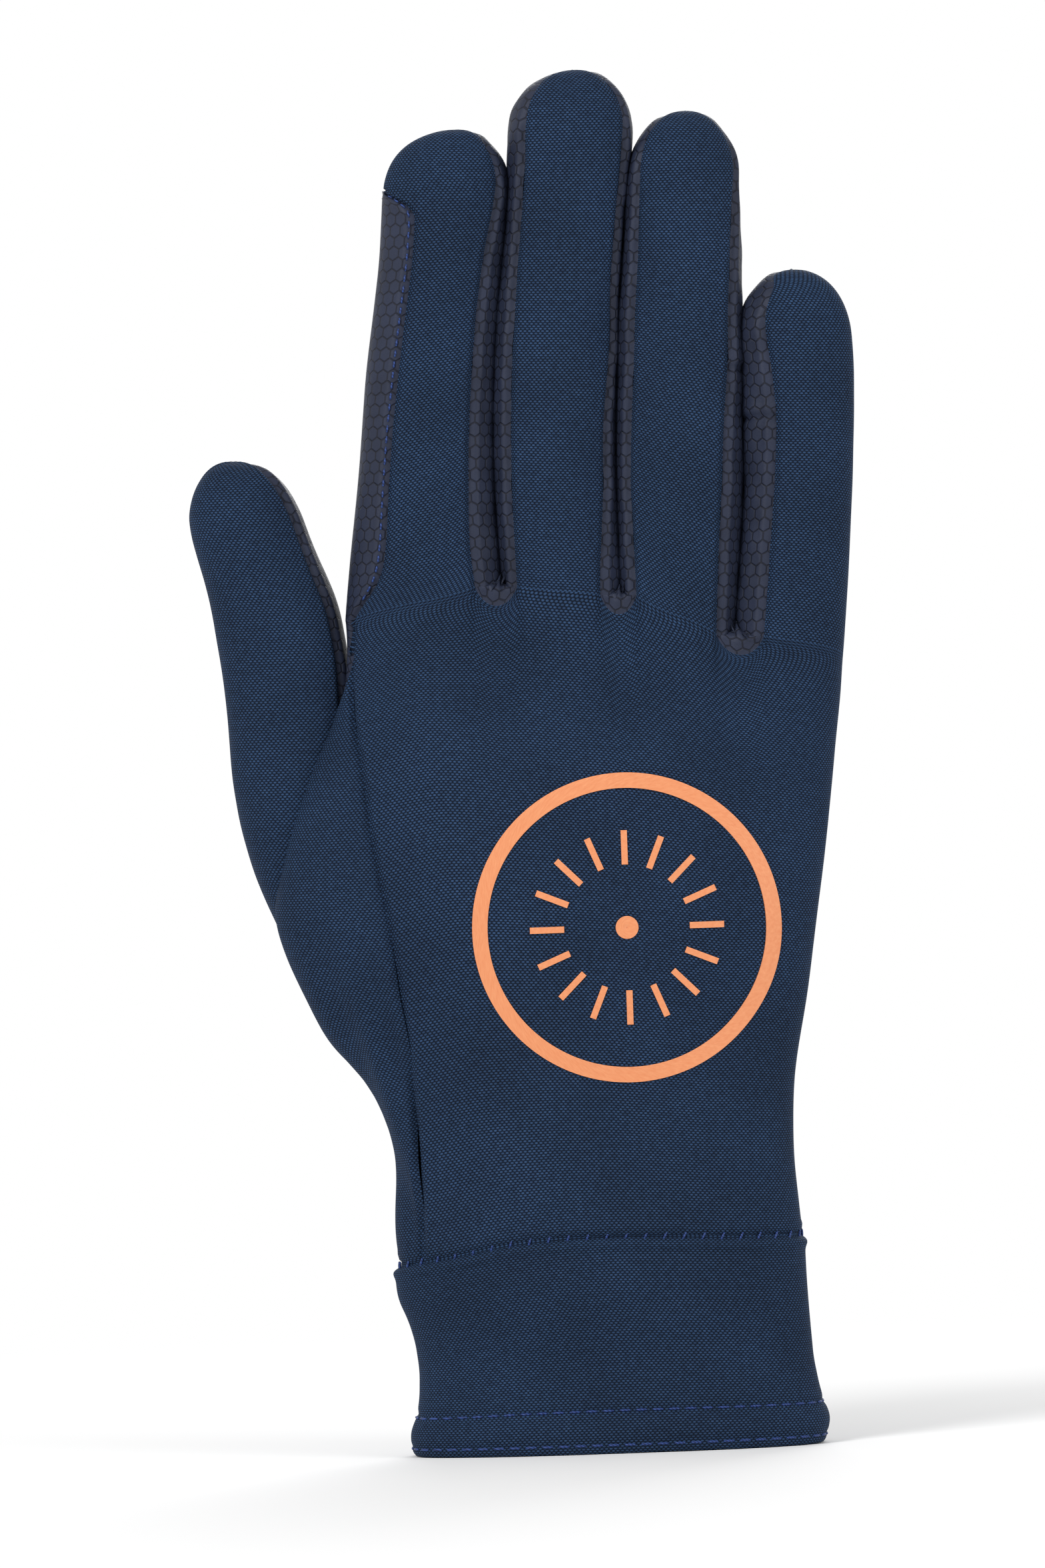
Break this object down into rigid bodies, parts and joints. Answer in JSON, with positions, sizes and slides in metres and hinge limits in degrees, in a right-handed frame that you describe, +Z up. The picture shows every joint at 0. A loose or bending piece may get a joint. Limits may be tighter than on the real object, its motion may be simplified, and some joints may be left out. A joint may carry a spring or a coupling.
{
  "type": "riding glove",
  "caption": "Knit riding glove for the right hand with leather-look palm and finger sides, a knit cuff and bending fingers and thumb.",
  "frame": {"origin": "bottom centre of the whole glove, on the plane of the cuff hem", "axes": "+Z up the fingers from the cuff; the back of the hand faces -Y and the palm +Y; the thumb is on the -X side, the little finger on +X"},
  "size_m": [0.1192, 0.0298, 0.2434],
  "materials": {
    "knit": "close navy jersey knit with lighter blue stitches, matt",
    "grip_leather": "synthetic leather with a small raised hexagon grain, satin",
    "thread": "polyester sewing thread, slightly shiny",
    "print_film": "heat-transfer film, copper orange, satin"
  },
  "bodies": {
    "hand": {"back_panel": "knit", "crotch_index_middle": "grip_leather", "crotch_middle_ring": "grip_leather", "crotch_ring_little": "grip_leather", "cuff_band": "knit", "cuff_hem_facing": "knit", "cuff_seam_thread": "thread", "hem_thread_lower": "thread", "hem_thread_upper": "thread", "index_rein_panel_root": "grip_leather", "palm_panel": "grip_leather", "print_dial": "print_film", "print_ring": "print_film", "thumb_gusset": "knit"},
    "index_lower": {"index_back_lower": "knit", "index_fourchette_lower": "grip_leather", "index_palm_lower": "grip_leather", "index_rein_panel_lower": "grip_leather", "index_rein_thread_lower": "thread"},
    "index_upper": {"index_back_upper": "knit", "index_fourchette_upper": "grip_leather", "index_palm_upper": "grip_leather", "index_rein_panel_upper": "grip_leather", "index_rein_thread_upper": "thread"},
    "middle_lower": {"middle_back_lower": "knit", "middle_fourchette_left_lower": "grip_leather", "middle_fourchette_right_lower": "grip_leather", "middle_palm_lower": "grip_leather"},
    "middle_upper": {"middle_back_upper": "knit", "middle_fourchette_left_upper": "grip_leather", "middle_fourchette_right_upper": "grip_leather", "middle_palm_upper": "grip_leather"},
    "ring_lower": {"ring_back_lower": "knit", "ring_fourchette_left_lower": "grip_leather", "ring_fourchette_right_lower": "grip_leather", "ring_palm_lower": "grip_leather"},
    "ring_upper": {"ring_back_upper": "knit", "ring_fourchette_left_upper": "grip_leather", "ring_fourchette_right_upper": "grip_leather", "ring_palm_upper": "grip_leather"},
    "little_lower": {"little_back_lower": "knit", "little_fourchette_lower": "grip_leather", "little_palm_lower": "grip_leather"},
    "little_upper": {"little_back_upper": "knit", "little_fourchette_upper": "grip_leather", "little_palm_upper": "grip_leather"},
    "thumb_lower": {"thumb_back_lower": "knit", "thumb_palm_lower": "grip_leather"},
    "thumb_upper": {"thumb_back_upper": "knit", "thumb_palm_upper": "grip_leather"}
  },
  "joints": [
    {"name": "index_knuckle", "type": "hinge", "parent": "hand", "child": "index_lower", "pos_m": [-0.01657, 0.003, 0.15798], "axis": [-0.9976, 0, 0.0694], "range_deg": [0, 75]},
    {"name": "index_middle_joint", "type": "hinge", "parent": "index_lower", "child": "index_upper", "pos_m": [-0.01463, 0.003, 0.18591], "axis": [-0.9976, 0, 0.0694], "range_deg": [0, 85]},
    {"name": "middle_knuckle", "type": "hinge", "parent": "hand", "child": "middle_lower", "pos_m": [0.00626, 0.003, 0.15699], "axis": [-0.9983, 0, 0.0576], "range_deg": [0, 75]},
    {"name": "middle_middle_joint", "type": "hinge", "parent": "middle_lower", "child": "middle_upper", "pos_m": [0.00805, 0.003, 0.18793], "axis": [-0.9983, 0, 0.0576], "range_deg": [0, 85]},
    {"name": "ring_knuckle", "type": "hinge", "parent": "hand", "child": "ring_lower", "pos_m": [0.02792, 0.003, 0.15499], "axis": [-0.9989, 0, 0.0468], "range_deg": [0, 75]},
    {"name": "ring_middle_joint", "type": "hinge", "parent": "ring_lower", "child": "ring_upper", "pos_m": [0.02932, 0.003, 0.18495], "axis": [-0.9989, 0, 0.0468], "range_deg": [0, 85]},
    {"name": "little_knuckle", "type": "hinge", "parent": "hand", "child": "little_lower", "pos_m": [0.04865, 0.003, 0.14799], "axis": [-0.9995, 0, 0.0323], "range_deg": [0, 75]},
    {"name": "little_middle_joint", "type": "hinge", "parent": "little_lower", "child": "little_upper", "pos_m": [0.04939, 0.003, 0.17098], "axis": [-0.9995, 0, 0.0323], "range_deg": [0, 85]},
    {"name": "thumb_fold", "type": "hinge", "parent": "hand", "child": "thumb_lower", "pos_m": [-0.04151, 0.007, 0.11493], "axis": [-0.3223, 0, -0.9466], "range_deg": [0, 25]},
    {"name": "thumb_middle_joint", "type": "hinge", "parent": "thumb_lower", "child": "thumb_upper", "pos_m": [-0.04612, 0.0065, 0.14953], "axis": [-0.9919, 0, -0.1271], "range_deg": [0, 55]}
  ]
}
